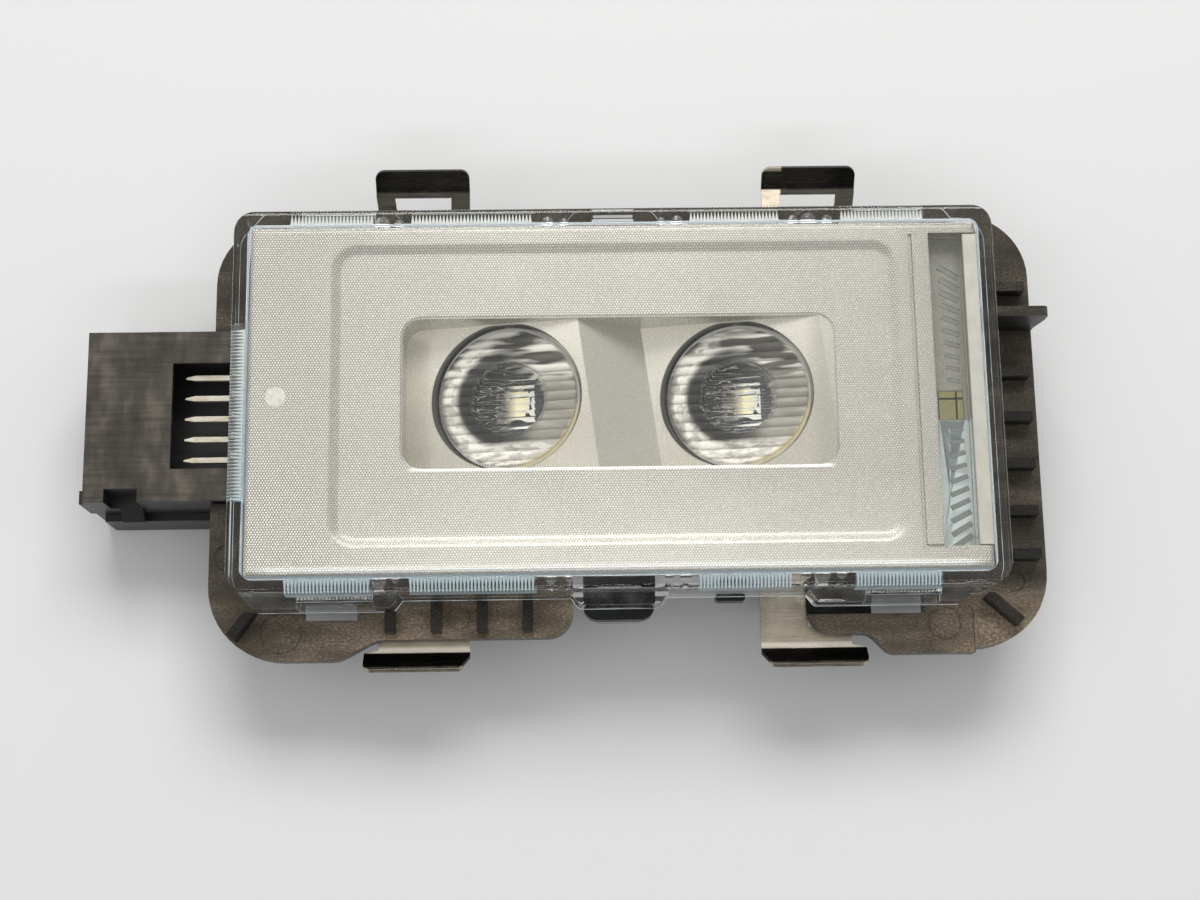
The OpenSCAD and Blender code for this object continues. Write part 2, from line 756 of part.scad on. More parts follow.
module guide_holder() {
    color([0.93, 0.9, 0.82]) difference() {
        union() {
            block(guide_x - guide_w / 2 - holder_wall, holder_x1, guide_y - guide_l / 2 - holder_wall,
                  guide_y + guide_l / 2 + holder_wall, holder_z0, bezel_z - plate_t - 0.1);
            block(guide_x + guide_w / 2 + 0.1, holder_x1, guide_y - guide_l / 2, guide_y + guide_l / 2,
                  holder_z0, bezel_z - 0.1);
        }
        guide_blank(0.1, guide_low_z, bezel_z + 1);
        translate([0, 0, -1]) guide_leg(0.1);
        guide_leg(0.1);
    }
}

// Circuit board and what is soldered to it

module circuit_board() {
    color([0.1, 0.3, 0.16]) difference() {
        rounded_slab(board_x0, board_x1, -board_y, board_y, board_z0, board_top, 0.8);
        for (x = [-post_x, post_x], y = [-post_y, post_y])
            translate([x, y, board_z0 - 1]) cylinder(r = peg_r + 0.1, h = board_t + 2);
    }
}

module led(x, y) {
    translate([x, y, board_top]) {
        translate([-led_w / 2, -led_w / 2, 0]) cube([led_w, led_w, led_base]);
        cylinder(d = led_dome, h = led_h);
    }
}

// Each light source stands under the tip of its tilted lens
lens_lean = sin(lens_tilt) * lens_depth;
led_y = recess_y + lens_lean * sin(floor_turn);

module led_left() { color([0.95, 0.85, 0.4]) led(lens_left_x + lens_lean * cos(floor_turn), led_y); }
module led_right() { color([0.95, 0.85, 0.4]) led(lens_right_x + lens_lean * cos(floor_turn), led_y); }

module led_ambient() {
    inner = [ambient_led[0] - 0.4, ambient_led[1] - 0.6];
    color([0.95, 0.8, 0.3]) translate([guide_x, leg_y, board_top]) {
        translate([-ambient_led[0] / 2, -ambient_led[1] / 2, 0]) cube([ambient_led[0], ambient_led[1], led_base]);
        translate([-inner[0] / 2, -inner[1] / 2, 0]) cube([inner[0], inner[1], led_h]);
    }
}

module driver_chip() {
    color([0.12, 0.12, 0.12]) translate([chip_x, chip_y, board_top]) {
        translate([-chip[0] / 2, -chip[1] / 2, 0.1]) cube(chip);
        for (i = [-1.5:1:1.5])
            translate([i * chip_pin_pitch - chip_pin_w / 2, -chip_pin_l / 2, 0]) cube([chip_pin_w, chip_pin_l, 0.2]);
    }
}

module filter_capacitors() {
    color([0.6, 0.6, 0.58]) for (y = cap_y) translate([cap_x, y, board_top]) {
        cylinder(d = cap_d, h = cap_h);
        translate([-cap_foot / 2, -cap_foot / 2, 0]) cube([cap_foot, cap_foot, 0.6]);
    }
}

module board_resistors() {
    color([0.2, 0.2, 0.22]) for (y = resistor_y)
        translate([resistor_x, y, board_top]) cube(resistor);
}

// Header and contact pins

module pin_at(i) {
    translate([0, pin_y0 + ((pin_count - 1) / 2 - i) * pin_pitch, pin_z]) children();
}

module contact_pin(i) {
    color([0.9, 0.85, 0.7]) pin_at(i) intersection() {
        along_y(-pin_t / 2, pin_t / 2) pin_side();
        along_z_plan() pin_side();
    }
}

module pin_side() {
    polygon([
        [pin_tip_x, -pin_t / 6], [pin_tip_x + pin_tip_l, -pin_t / 2], [pin_end_x, -pin_t / 2],
        [pin_end_x, pin_t / 2], [pin_tip_x + pin_tip_l, pin_t / 2], [pin_tip_x, pin_t / 6]
    ]);
}

module along_z_plan() {
    translate([0, 0, -pin_t / 2]) linear_extrude(pin_t) children();
}

module connector_header() {
    color([0.1, 0.1, 0.1]) difference() {
        union() {
            block(header_x0, header_x1, header_y0, header_y1, 0, header_z1);
            // Key flange that stands behind the box wall
            block(header_x1 - header_key_t, header_x1, header_y0 - header_key_w, header_y1 + header_key_w,
                  box_floor + fit, board_z0);
            // Guide rail along the foot of the front face
            block(header_x0 + 1, fx0 - 1, header_y0 - 0.9, header_y0 + eps, 0, 6);
            block(header_x0 - 0.6, header_x0 + eps, header_y0, header_y0 + 1.6, header_z1 - 7, header_z1 - 1);
            // Catch of the latch, a wedge below its notch
            along_x(header_x0 + latch_x[0], header_x0 + latch_x[1]) polygon([
                [header_y0 - latch_out, latch_z - 2.2], [header_y0 + eps, latch_z - 2.2],
                [header_y0 + eps, latch_z], [header_y0, latch_z], [header_y0 - latch_out, latch_z - 1.6]
            ]);
        }
        block(header_x0 - eps, socket_back_x, pin_y0 - socket_w / 2, pin_y0 + socket_w / 2,
              socket_z0, socket_z1);
        block(port_x0, socket_back_x, pin_y0 - port_w / 2, pin_y0 + port_w / 2,
              socket_z1 - eps, header_z1 + eps);
        // Latch notch in the front top edge
        block(header_x0 + 2.5, header_x0 + 6.4, header_y0 - eps, header_y0 + 1.6,
              latch_z, header_z1 + eps);
        for (i = [0:pin_count - 1]) pin_at(i)
            translate([socket_back_x - 1, -pin_t / 2, -pin_t / 2]) cube([8, pin_t, pin_t]);
    }
}

// Spring clips, drawn for the rear right one

module clip_foot_wedge(shift) {
    mid = clip_x + clip_w / 2 + shift;
    z = clip_foot_z + 1.6;
    along_x(mid - clip_foot_window[0] / 2 + fit, mid + clip_foot_window[0] / 2 - fit) polygon([
        [box_y - eps, z + fit], [box_y + eps, z + fit],
        [box_y + 0.9, z + clip_foot_window[1] - fit], [box_y - eps, z + clip_foot_window[1] - fit]
    ]);
}

module clip_wedges() {
    mirror([1, 0, 0]) clip_foot_wedge(clip_shift[0]);
    clip_foot_wedge(clip_shift[1]);
    rotate([0, 0, 180]) clip_foot_wedge(clip_shift[2]);
    mirror([0, 1, 0]) clip_foot_wedge(clip_shift[3]);
}

// Section of the bent sheet: flat, bend and raised lip
module bent_sheet() {
    bend_y = cy + clip_out;
    function bend(r) = arc_points(bend_y, under_z + bend_r, r, -90, -90 + lip_angle, 5);
    lip = [lip_l * cos(lip_angle), lip_l * sin(lip_angle)];
    low = bend(bend_r + clip_t);
    high = bend(bend_r);
    polygon(concat(
        [[box_y, under_z - clip_t]], low, [low[5] + lip, high[5] + lip],
        [for (i = [5:-1:0]) high[i]], [[box_y, under_z]]
    ));
}

// What the stamping removes in plan: the loop's window and the leaning outer side
module clip_cut_plan(inner_leg, bar, flare, lean) {
    y0 = box_y + 2.2;
    y1 = cy + clip_out;
    x1 = clip_x + clip_w;
    far = x1 + flare + 1;
    polygon([
        [clip_x + inner_leg, y0], [x1 - clip_leg, y0],
        [x1 - clip_leg + lean, y1 - bar], [clip_x + inner_leg, y1 - bar]
    ]);
    polygon([
        [x1, box_y - 1], [far, box_y - 1], [far, y1], [x1 + flare, y1], [x1 + lean, y1 - 0.3], [x1, y0]
    ]);
}

// Corner of the lip cut off, in the plane of the lip: rounded or slanting
module lip_round(x, side) {
    translate([x, lip_l]) scale([side, 1]) difference() {
        translate([-1, -lip_r]) square([lip_r + 1, lip_r + 1]);
        translate([lip_r, -lip_r]) circle(lip_r);
    }
}

module lip_slant(x) {
    polygon([[x - 1, 0.3], [x, 0.3], [x + lip_cut, lip_l], [x + lip_cut, lip_l + 1], [x - 1, lip_l + 1]]);
}

// Children are the two corner cuts of the lip
module spring_clip(inner_leg, bar, flare, lean) {
    mid = clip_x + clip_w / 2;
    color([0.72, 0.68, 0.6]) {
        difference() {
            along_x(clip_x, clip_x + clip_w + flare) bent_sheet();
            translate([0, 0, under_z - clip_t - 1])
                linear_extrude(clip_t + 2) clip_cut_plan(inner_leg, bar, flare, lean);
            translate([0, cy + clip_out, under_z + bend_r]) rotate([lip_angle, 0, 0])
                translate([0, 0, -bend_r - clip_t - 0.2]) linear_extrude(clip_t + 0.4) children();
        }
        difference() {
            block(mid - clip_foot_w / 2, mid + clip_foot_w / 2, box_y, box_y + clip_t, clip_foot_z, under_z);
            block(mid - clip_foot_window[0] / 2, mid + clip_foot_window[0] / 2, box_y - 1, box_y + 1,
                  clip_foot_z + 1.6, clip_foot_z + 1.6 + clip_foot_window[1]);
        }
    }
}

module rear_clip(shift) {
    translate([shift, 0, 0]) spring_clip(clip_leg, clip_bar, clip_flare, clip_flare) {
        lip_round(clip_x, 1);
        lip_round(clip_x + clip_w + clip_flare, -1);
    }
}

module front_clip(shift) {
    translate([shift, 0, 0]) spring_clip(clip_front_leg, clip_front_bar, clip_front_flare, clip_front_lean) {
        lip_slant(clip_x);
        lip_round(clip_x + clip_w + clip_front_flare, -1);
    }
}

base_housing();
clear_cover();
inner_bezel();
lens_left();
lens_right();
light_guide();
guide_holder();
circuit_board();
led_left();
led_right();
led_ambient();
driver_chip();
filter_capacitors();
board_resistors();
connector_header();
contact_pin(0);  // contact_pin_1
contact_pin(1);  // contact_pin_2
contact_pin(2);  // contact_pin_3
contact_pin(3);  // contact_pin_4
contact_pin(4);  // contact_pin_5
mirror([1, 0, 0]) rear_clip(clip_shift[0]);  // spring_clip_rear_left
rear_clip(clip_shift[1]);  // spring_clip_rear_right
rotate([0, 0, 180]) front_clip(clip_shift[2]);  // spring_clip_front_left
mirror([0, 1, 0]) front_clip(clip_shift[3]);  // spring_clip_front_right
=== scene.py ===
# Looks of the car dome light: materials for every part, floor, lamps and camera
import math

import bpy
from mathutils import Euler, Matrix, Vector

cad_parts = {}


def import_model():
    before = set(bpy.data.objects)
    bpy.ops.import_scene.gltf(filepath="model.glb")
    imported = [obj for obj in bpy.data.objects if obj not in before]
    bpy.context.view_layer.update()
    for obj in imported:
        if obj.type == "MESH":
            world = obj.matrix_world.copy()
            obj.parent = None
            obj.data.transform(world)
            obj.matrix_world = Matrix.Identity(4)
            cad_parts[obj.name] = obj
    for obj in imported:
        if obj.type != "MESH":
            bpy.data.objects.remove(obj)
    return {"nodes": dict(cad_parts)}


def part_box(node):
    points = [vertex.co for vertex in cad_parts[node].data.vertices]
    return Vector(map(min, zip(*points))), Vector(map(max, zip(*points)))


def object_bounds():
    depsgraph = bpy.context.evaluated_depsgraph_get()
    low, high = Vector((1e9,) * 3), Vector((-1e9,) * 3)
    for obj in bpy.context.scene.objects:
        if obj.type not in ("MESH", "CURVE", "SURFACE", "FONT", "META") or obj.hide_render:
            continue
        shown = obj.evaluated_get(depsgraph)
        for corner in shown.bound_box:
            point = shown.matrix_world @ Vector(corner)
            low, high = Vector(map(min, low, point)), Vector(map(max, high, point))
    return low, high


MM = 0.001

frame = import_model()
cad_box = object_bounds()
nodes = frame["nodes"]

# Places read from the frame: the cover's top in metres and the bezel's front in millimetres
COVER_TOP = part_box("clear_cover")[1][2]
BEZEL_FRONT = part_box("inner_bezel")[0][1] / MM


# Node helpers. Lengths are in millimetres, and a mask is one where it holds and zero elsewhere.


class Shader:
    """A node material that is built up link by link."""

    def __init__(self, name):
        self.material = bpy.data.materials.new(name)
        self.material.use_nodes = True
        # The weak glows light nothing, so sampling them as lamps would only cost time
        self.material.cycles.emission_sampling = "NONE"
        self.tree = self.material.node_tree
        self.tree.nodes.clear()
        self.output = self.add("ShaderNodeOutputMaterial")
        self.coords = self.add("ShaderNodeTexCoord").outputs["Object"]

    def add(self, kind, **values):
        node = self.tree.nodes.new(kind)
        for key, value in values.items():
            setattr(node, key, value)
        return node

    def link(self, source, target):
        self.tree.links.new(source, target)

    def feed(self, value, target):
        """Links a socket, or sets a number or a colour."""
        if isinstance(value, bpy.types.NodeSocket):
            self.link(value, target)
        elif isinstance(value, tuple):
            target.default_value = (*value, 1)
        else:
            target.default_value = value

    def finish(self, surface):
        self.link(surface, self.output.inputs["Surface"])
        return self.material

    # Numbers

    def math(self, operation, a, b=0.0, c=None):
        node = self.add("ShaderNodeMath", operation=operation)
        self.feed(a, node.inputs[0])
        self.feed(b, node.inputs[1])
        if c is not None:
            self.feed(c, node.inputs[2])
        return node.outputs[0]

    def minus(self, a, b):
        return self.math("SUBTRACT", a, b)

    def absolute(self, a):
        return self.math("ABSOLUTE", a)

    def length(self, a, b):
        """Length of a vector in the plane."""
        return self.math("SQRT", self.math("MULTIPLY_ADD", a, a, self.math("MULTIPLY", b, b)))

    def remap(self, value, low, high, to_low=0.0, to_high=1.0):
        node = self.add("ShaderNodeMapRange")
        self.feed(value, node.inputs["Value"])
        node.inputs["From Min"].default_value = low
        node.inputs["From Max"].default_value = high
        node.inputs["To Min"].default_value = to_low
        node.inputs["To Max"].default_value = to_high
        return node.outputs["Result"]

    def mix_number(self, fac, a, b):
        """a where fac is zero and b where it is one."""
        return self.math("MULTIPLY_ADD", fac, self.minus(b, a), a)

    # Masks

    def any_of(self, *masks):
        """The largest of several masks."""
        most = masks[0]
        for mask in masks[1:]:
            most = self.math("MAXIMUM", most, mask)
        return most

    def all_of(self, *masks):
        """The product of several masks and strengths."""
        product = masks[0]
        for mask in masks[1:]:
            product = self.math("MULTIPLY", product, mask)
        return product

    def none_of(self, mask):
        return self.minus(1.0, mask)

    def inside(self, value, low, high, soft=0.05):
        """One where a value lies between two limits, with soft ends."""
        rise = self.remap(value, low - soft, low + soft)
        fall = self.remap(value, high + soft, high - soft)
        return self.all_of(rise, fall)

    def outside_box(self, x0, x1, y0, y1):
        """Zero inside an upright rectangle in plan, and one outside."""
        x, y, _ = self.position()
        dx = self.absolute(self.minus(x, (x0 + x1) / 2))
        dy = self.absolute(self.minus(y, (y0 + y1) / 2))
        out_x = self.math("GREATER_THAN", dx, (x1 - x0) / 2)
        out_y = self.math("GREATER_THAN", dy, (y1 - y0) / 2)
        return self.any_of(out_x, out_y)

    def edges(self, radius):
        """One along sharp edges, for lines about as wide as the radius."""
        node = self.add("ShaderNodeVectorMath", operation="DOT_PRODUCT")
        self.link(self.soft_edges(radius), node.inputs[0])
        self.link(self.add("ShaderNodeNewGeometry").outputs["Normal"], node.inputs[1])
        return self.remap(node.outputs["Value"], 0.985, 0.90)

    # Places and directions

    def scaled(self, scale):
        """Object coordinates, stretched along each axis."""
        node = self.add("ShaderNodeMapping")
        node.inputs["Scale"].default_value = [s / MM for s in scale]
        self.link(self.coords, node.inputs["Vector"])
        return node.outputs["Vector"]

    def split(self, vector):
        node = self.add("ShaderNodeSeparateXYZ")
        self.link(vector, node.inputs[0])
        return node.outputs

    def position(self):
        """x, y and z of the place."""
        return self.split(self.scaled((1, 1, 1)))

    def facing(self):
        """x, y and z of the surface's direction."""
        return self.split(self.add("ShaderNodeNewGeometry").outputs["Normal"])

    def radius(self, cx, cy):
        """Distance in plan from a point."""
        x, y, _ = self.position()
        return self.length(self.minus(x, cx), self.minus(y, cy))

    # Patterns, colours and relief

    def noise(self, scale, detail=3.0, roughness=0.55, stretch=(1, 1, 1)):
        node = self.add("ShaderNodeTexNoise")
        self.link(self.scaled(stretch), node.inputs["Vector"])
        node.inputs["Scale"].default_value = scale
        node.inputs["Detail"].default_value = detail
        node.inputs["Roughness"].default_value = roughness
        return node.outputs["Fac"]

    def ramp(self, fac, stops):
        node = self.add("ShaderNodeValToRGB")
        ramp = node.color_ramp
        while len(ramp.elements) < len(stops):
            ramp.elements.new(1.0)
        for element, (place, colour) in zip(ramp.elements, stops):
            element.position = place
            element.color = (*colour, 1)
        self.link(fac, node.inputs["Fac"])
        return node.outputs["Color"]

    def mix_colour(self, fac, a, b, blend="MIX"):
        node = self.add("ShaderNodeMix", data_type="RGBA", blend_type=blend)
        self.feed(fac, node.inputs[0])
        self.feed(a, node.inputs[6])
        self.feed(b, node.inputs[7])
        return node.outputs[2]

    def layers(self, stack):
        """Lays colours over each other: gives how much they cover and the colour they show."""
        clear = 1.0
        light = (0.0, 0.0, 0.0)
        for amount, colour in stack:
            clear = self.all_of(clear, self.none_of(amount))
            light = self.mix_colour(amount, light, colour)
        covered = self.none_of(clear)
        return covered, self.mix_colour(1.0, light, covered, "DIVIDE")

    def bump(self, height, distance, strength=1.0, normal=None):
        """distance is the depth of the relief."""
        node = self.add("ShaderNodeBump")
        node.inputs["Distance"].default_value = distance * MM
        node.inputs["Strength"].default_value = strength
        self.link(height, node.inputs["Height"])
        if normal is not None:
            self.link(normal, node.inputs["Normal"])
        return node.outputs["Normal"]

    def soft_edges(self, radius):
        """Normals that round each edge by a radius."""
        node = self.add("ShaderNodeBevel", samples=2)
        node.inputs["Radius"].default_value = radius * MM
        return node.outputs["Normal"]

    # Surfaces

    def principled(self, colour, roughness, normal=None, **values):
        node = self.add("ShaderNodeBsdfPrincipled")
        self.feed(colour, node.inputs["Base Color"])
        self.feed(roughness, node.inputs["Roughness"])
        if normal is not None:
            self.link(normal, node.inputs["Normal"])
        for key, value in values.items():
            self.feed(value, node.inputs[key.replace("_", " ")])
        return node.outputs["BSDF"]

    def glow(self, colour, strength):
        node = self.add("ShaderNodeEmission")
        self.feed(colour, node.inputs["Color"])
        self.feed(strength, node.inputs["Strength"])
        return node.outputs[0]

    def blend(self, fac, a, b):
        """Mixes two surfaces: a where fac is zero and b where it is one."""
        mix = self.add("ShaderNodeMixShader")
        self.feed(fac, mix.inputs[0])
        self.link(a, mix.inputs[1])
        self.link(b, mix.inputs[2])
        return mix.outputs[0]

    def let_light_through(self, surface):
        """Clear parts don't shade what lies under them."""
        path = self.add("ShaderNodeLightPath").outputs
        clear = self.add("ShaderNodeBsdfTransparent")
        passing = self.any_of(path["Is Shadow Ray"], path["Is Diffuse Ray"])
        return self.blend(passing, surface, clear.outputs[0])


# Black plastics

BLACK = (0.012, 0.012, 0.012)

# Tops of the flange, of its ribs, of the tall rib and of the header
FLANGE_Z = 12.5
RIB_Z = 14.7
TALL_RIB_Z = 19.0
HEADER_Z = 13.6
# The front arms start at this y, and the strap and the lugs stand between them
ARMS_Y = -21.0
STRAP_X = (-4.9, 18.0)
# The right arm is darker than the left one
RIGHT_ARM_X = (21.0, 37.5)


def textured_plastic():
    """Eroded black plastic: sparkling, and brown on the flange face from painted sheen; smooth on
    edges and ribs, whose sides are painted near black as shade.
    """
    s = Shader("textured_black_plastic")
    x, y, z = s.position()
    grain = s.noise(3.6, 4.0, 0.8, stretch=(0.75, 1.3, 1))
    flow = s.noise(0.3, 2.0, 0.5, stretch=(0.5, 1.6, 1))
    face = s.ramp(s.mix_number(0.7, flow, grain), [
        (0.38, (0.034, 0.028, 0.021)),
        (0.50, (0.062, 0.052, 0.039)),
        (0.64, (0.165, 0.138, 0.108)),
    ])
    # The front of the flange catches more light, and its left arm the most
    front = s.remap(y, ARMS_Y, ARMS_Y - 2.5)
    face = s.mix_colour(front, face, (1.7, 1.65, 1.6), "MULTIPLY")
    right_arm = s.inside(x, *RIGHT_ARM_X, 1.0)
    arms = s.all_of(front, s.remap(x, -38.0, -24.0), s.remap(right_arm, 0.0, 1.0, 1.0, 0.05))
    face = s.mix_colour(arms, face, (2.0, 1.95, 1.9), "MULTIPLY")
    # Painted light: the upward faces get the brown lit colour, rib tops less of it towards the
    # front and the strap none; the sides of the ribs and the flange are painted near black as
    # shade.
    besides_strap = s.any_of(s.remap(y, ARMS_Y - 0.5, ARMS_Y), s.none_of(s.inside(x, *STRAP_X)))
    lit_tops = s.any_of(
        s.all_of(s.inside(z, FLANGE_Z - 0.15, FLANGE_Z + 0.25, 0.02), besides_strap),
        s.all_of(s.inside(z, RIB_Z - 0.02, RIB_Z + 0.1, 0.02), s.remap(y, -2.0, 12.0, 0.08, 0.6)),
        s.all_of(s.inside(z, TALL_RIB_Z - 0.1, TALL_RIB_Z + 0.1, 0.02), 0.7),
    )
    colour = s.mix_colour(lit_tops, (0.009, 0.009, 0.009), face)
    rough = s.mix_number(lit_tops, 0.16, s.remap(grain, 0.3, 0.7, 0.26, 0.50))
    normal = s.bump(grain, 0.30, 0.9, s.soft_edges(0.15))
    return s.finish(s.principled(colour, rough, normal))


def satin_plastic():
    """Smoother black plastic with fine draw marks along its length, and a top painted lighter than
    its black sides as sheen.
    """
    s = Shader("satin_black_plastic")
    _, _, z = s.position()
    streak = s.noise(0.9, 2.0, 0.6, stretch=(0.5, 0.2, 0.6))
    scratch = s.noise(1.6, 5.0, 0.75, stretch=(0.07, 1.3, 1))
    uneven_sheen = s.ramp(s.mix_number(0.38, streak, scratch), [
        (0.36, (0.022, 0.018, 0.013)),
        (0.52, (0.050, 0.042, 0.032)),
        (0.66, (0.110, 0.094, 0.074)),
    ])
    # Painted sheen: the top face is lighter and streaked along the draw marks, as if lit; the
    # sides stay black.
    colour = s.mix_colour(s.remap(z, HEADER_Z - 0.2, HEADER_Z - 0.05), BLACK, uneven_sheen)
    rough = s.remap(scratch, 0.3, 0.7, 0.28, 0.46)
    normal = s.bump(scratch, 0.02, 0.6, s.soft_edges(0.12))
    return s.finish(s.principled(colour, rough, normal))


# Bezel

DOT_PITCH = 0.33
DOT_R = 0.14
TRAY_Z = 19.3
# The recess, a little larger than its opening, which keeps the dots off its walls
RECESS = (-25.3, 25.9, -8.7, 9.9)
LENSES = ((-12.8, 0.6), (14.4, 0.6))
SEAT_R = 8.72


def dot_grid(s):
    """One in the middle of each dot of a honeycomb grid, and zero between."""
    x, y, _ = s.position()
    row_pitch = DOT_PITCH * math.sqrt(3)

    def from_centre(value, pitch, shift):
        cell = s.math("ADD", s.math("DIVIDE", value, pitch), shift)
        return s.all_of(s.minus(s.math("FRACT", cell), 0.5), pitch)

    grids = []
    for shift in (0.0, 0.5):
        away = s.length(from_centre(x, DOT_PITCH, shift), from_centre(y, row_pitch, shift))
        grids.append(s.remap(away, DOT_R, DOT_R * 0.35))
    return s.any_of(*grids)


def lens_shadow(s):
    """Thin black crescent beside each lens, on the side of the rear and the connector."""
    x, y, _ = s.position()
    shades = []
    for cx, cy in LENSES:
        across = s.minus(s.all_of(s.minus(y, cy), 0.6), s.minus(x, cx))
        width = s.remap(across, -3.0, 7.0, 0.02, 0.42)
        outer = s.math("ADD", width, SEAT_R)
        shades.append(s.remap(s.minus(s.radius(cx, cy), outer), 0.07, -0.07))
    return s.all_of(s.any_of(*shades), s.remap(y, 9.6, 9.4))


def recess_colour(s, cloud):
    """Smooth lacquer with painted light and shade: brighter at the rear, darker in two corners and
    on the shaded sides.
    """
    x, y, _ = s.position()
    nx, ny, _ = s.facing()
    smooth = s.ramp(cloud, [(0.3, (0.62, 0.59, 0.50)), (0.7, (0.66, 0.63, 0.54))])
    # Painted light: brighter towards the rear.
    smooth = s.mix_colour(s.remap(y, -2.0, 8.0, 0.0, 0.8), smooth, (0.93, 0.89, 0.77))
    # Painted shade: darker in the front-left corner and at the right end.
    front_left = s.all_of(s.remap(y, 1.0, -6.0), s.remap(x, -14.0, -20.0))
    shaded_corners = s.any_of(front_left, s.remap(x, 22.3, 24.0))
    smooth = s.mix_colour(s.all_of(shaded_corners, 0.55), smooth, (0.45, 0.43, 0.365))
    shaded = s.any_of(s.remap(nx, -0.02, 0.04), s.remap(ny, -0.5, -0.8))
    return s.mix_colour(shaded, smooth, (0.58, 0.565, 0.49))


def face_colour(s, cloud):
    """Ground between the dots, with painted light brighter at the front and painted shade darker
    at the left.
    """
    x, y, _ = s.position()
    ground = s.ramp(cloud, [(0.3, (0.40, 0.38, 0.325)), (0.7, (0.47, 0.45, 0.385))])
    ground = s.mix_colour(s.remap(y, -9.0, -20.0, 0.0, 0.70), ground, (0.72, 0.70, 0.62))
    return s.mix_colour(s.remap(x, -18.0, -36.0, 0.0, 0.75), ground, (0.30, 0.285, 0.24))


def bezel_plastic():
    """Warm silver-grey lacquer: smooth in the recess, dotted on the face."""
    s = Shader("bezel_silver_plastic")
    x, y, z = s.position()
    nx, ny, _ = s.facing()
    outside = s.any_of(s.outside_box(*RECESS), s.remap(z, TRAY_Z - 0.08, TRAY_Z - 0.03))
    dots = s.all_of(dot_grid(s), outside)
    cloud = s.noise(0.12, 3.0)
    fine = s.noise(9.0, 3.0)
    colour = s.mix_colour(outside, recess_colour(s, cloud), face_colour(s, cloud))
    # The dots are a real pattern in relief; their near-white colour is painted sparkle, weaker to
    # the right.
    pale_dots = s.all_of(dots, s.remap(x, 0.0, 40.0, 0.95, 0.7))
    colour = s.mix_colour(pale_dots, colour, (1.0, 0.98, 0.90))
    # Sides that look towards the front or away from the connector lie in shade
    shade = s.any_of(s.remap(ny, -0.08, -0.30), s.remap(nx, 0.08, 0.30))
    colour = s.mix_colour(s.all_of(shade, outside, 0.45), colour, (0.24, 0.23, 0.20))
    # Painted shade: darker towards the far end from the connector.
    far_end_shade = s.math("ADD", s.remap(x, 8.0, 44.0, 0.0, 0.45), s.remap(x, 33.0, 38.0, 0.0, 0.22))
    colour = s.mix_colour(far_end_shade, colour, (0.34, 0.325, 0.28))
    # Light that gathers on the front edges of the plate and of the recess
    band = s.all_of(
        s.inside(y, BEZEL_FRONT + 0.45, BEZEL_FRONT + 1.25, 0.15),
        s.inside(x, -41.0, 41.0, 1.0),
        0.6,
    )
    mouth_y = RECESS[2]
    mouth = s.all_of(
        s.inside(y, mouth_y - 0.05, mouth_y + 0.32),
        s.inside(x, -24.2, 25.0, 0.4),
        s.remap(z, TRAY_Z - 0.4, TRAY_Z - 0.3),
    )
    colour = s.mix_colour(s.any_of(band, mouth), colour, (1.0, 0.99, 0.95))
    colour = s.mix_colour(s.all_of(lens_shadow(s), 0.95), colour, (0.015, 0.014, 0.012))
    rough = s.remap(fine, 0.3, 0.7, 0.20, 0.30)
    normal = s.bump(fine, 0.01, 0.4, s.bump(dots, 0.06, 0.8, s.soft_edges(0.2)))
    return s.finish(s.principled(colour, rough, normal, Metallic=0.35, Specular_IOR_Level=0.8))


# Clear plastics

ACRYLIC_IOR = 1.49
GLINT = (0.80, 0.90, 0.94)
GLINT_STRENGTH = 0.75


def clear_plastic(name, tint, roughness, bump_depth, haze, glint=None):
    """Clear moulded plastic that lets the lamps light what it covers."""
    s = Shader(name)
    ripple = s.noise(0.25, 1.0)
    normal = s.bump(ripple, bump_depth, 0.4)
    clear = s.principled(tint, roughness, normal, Transmission_Weight=1.0, IOR=ACRYLIC_IOR)
    # The haze layers lie over the clear surface: real marks such as the guide's strokes and the
    # cover's gate mark, and otherwise painted light: scattered light, reflections and highlights.
    covered, colour = s.layers(haze(s))
    surface = s.blend(covered, clear, s.principled(colour, 0.5, normal, Specular_IOR_Level=0.1))
    if glint:
        surface = s.blend(glint(s), surface, s.glow(GLINT, GLINT_STRENGTH))
    return s.finish(s.let_light_through(surface))


# The cover's long and end walls, as distances from its middle, and their fluted stretches
LONG_WALL = (21.2, 22.9)
END_WALL = (43.3, 45.1)
FLUTES_Z = (17.6, 19.3)
FLUTED_RUNS = ((-38.4, -28.5), (-24.1, -9.5), (9.0, 19.8), (27.0, 36.9))
FLUTED_LEFT = (-12.0, 9.8)
# The top edges, the bottom rim and the heights where edges glint
TOP_EDGE_Z = (19.6, 19.9)
RIM_Z = (12.58, 13.0)
GLINT_Z = (12.6, 17.4)
GATE = (-39.6, 0.1)
GATE_R = 1.2


